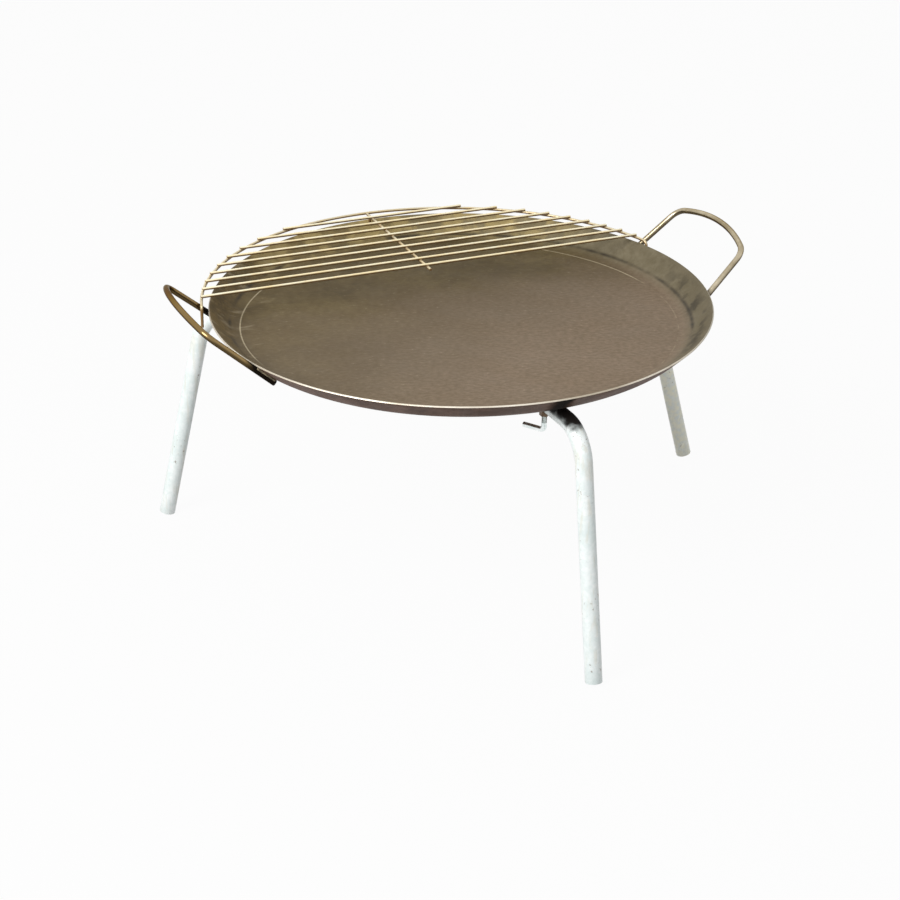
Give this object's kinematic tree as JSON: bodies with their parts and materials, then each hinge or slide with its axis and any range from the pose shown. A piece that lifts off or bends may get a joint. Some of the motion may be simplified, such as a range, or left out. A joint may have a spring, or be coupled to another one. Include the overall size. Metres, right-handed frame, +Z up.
{
  "type": "camp griddle plate",
  "caption": "Round dished steel griddle plate on clamped tube legs, with a looped rod handle at each side and a lift-off wire warming rack over one edge.",
  "frame": {"origin": "centre of the cooking floor's top face", "axes": "+Z up, +X towards the right handle, +Y towards the warming rack; the front leg points along -Y"},
  "size_m": [0.7105, 0.6647, 0.3607],
  "materials": {
    "plate_steel": "oiled, mottled black steel",
    "handle_steel": "bare rod, satin",
    "socket_steel": "bare tube, dull",
    "nut_steel": "bare, dull",
    "screw_zinc": "zinc plated",
    "leg_zinc": "galvanised",
    "rack_wire": "bright drawn wire"
  },
  "bodies": {
    "plate": {"griddle_plate": "plate_steel", "handle_left": "handle_steel", "handle_right": "handle_steel", "leg_socket_front": "socket_steel", "leg_socket_left": "socket_steel", "leg_socket_right": "socket_steel", "clamp_nut_front": "nut_steel", "clamp_nut_left": "nut_steel", "clamp_nut_right": "nut_steel"},
    "leg_front": {"leg_front": "leg_zinc"},
    "leg_left": {"leg_left": "leg_zinc"},
    "leg_right": {"leg_right": "leg_zinc"},
    "screw_front": {"clamp_screw_front": "screw_zinc"},
    "screw_left": {"clamp_screw_left": "screw_zinc"},
    "screw_right": {"clamp_screw_right": "screw_zinc"},
    "rack": {"rack_rim_wire": "rack_wire", "rack_cross_bar": "rack_wire", "rack_foot": "rack_wire", "rack_bar_1": "rack_wire", "rack_bar_2": "rack_wire", "rack_bar_3": "rack_wire", "rack_bar_4": "rack_wire", "rack_bar_5": "rack_wire", "rack_bar_6": "rack_wire", "rack_bar_7": "rack_wire", "rack_bar_8": "rack_wire", "rack_bar_9": "rack_wire"}
  },
  "joints": [
    {"name": "leg_front_pull", "type": "slide", "parent": "plate", "child": "leg_front", "axis": [0.0227, -0.9997, 0], "range_m": [-0.038, 0.071]},
    {"name": "leg_left_pull", "type": "slide", "parent": "plate", "child": "leg_left", "axis": [-0.8387, 0.5446, 0], "range_m": [-0.045, 0.064]},
    {"name": "leg_right_pull", "type": "slide", "parent": "plate", "child": "leg_right", "axis": [0.9489, 0.3156, 0], "range_m": [-0.046, 0.063]},
    {"name": "screw_front_turn", "type": "hinge", "parent": "plate", "child": "screw_front", "pos_m": [0.00485, -0.21394, -0.0478], "axis": [0, 0, 1], "range_deg": [-720, 0]},
    {"name": "screw_left_turn", "type": "hinge", "parent": "plate", "child": "screw_left", "pos_m": [-0.17948, 0.11655, -0.0478], "axis": [0, 0, 1], "range_deg": [-720, 0]},
    {"name": "screw_right_turn", "type": "hinge", "parent": "plate", "child": "screw_right", "pos_m": [0.20306, 0.06755, -0.0478], "axis": [0, 0, 1], "range_deg": [-720, 0]},
    {"name": "rack_lift", "type": "slide", "parent": "plate", "child": "rack", "axis": [0, 0, 1], "range_m": [0, 0.2]}
  ]
}
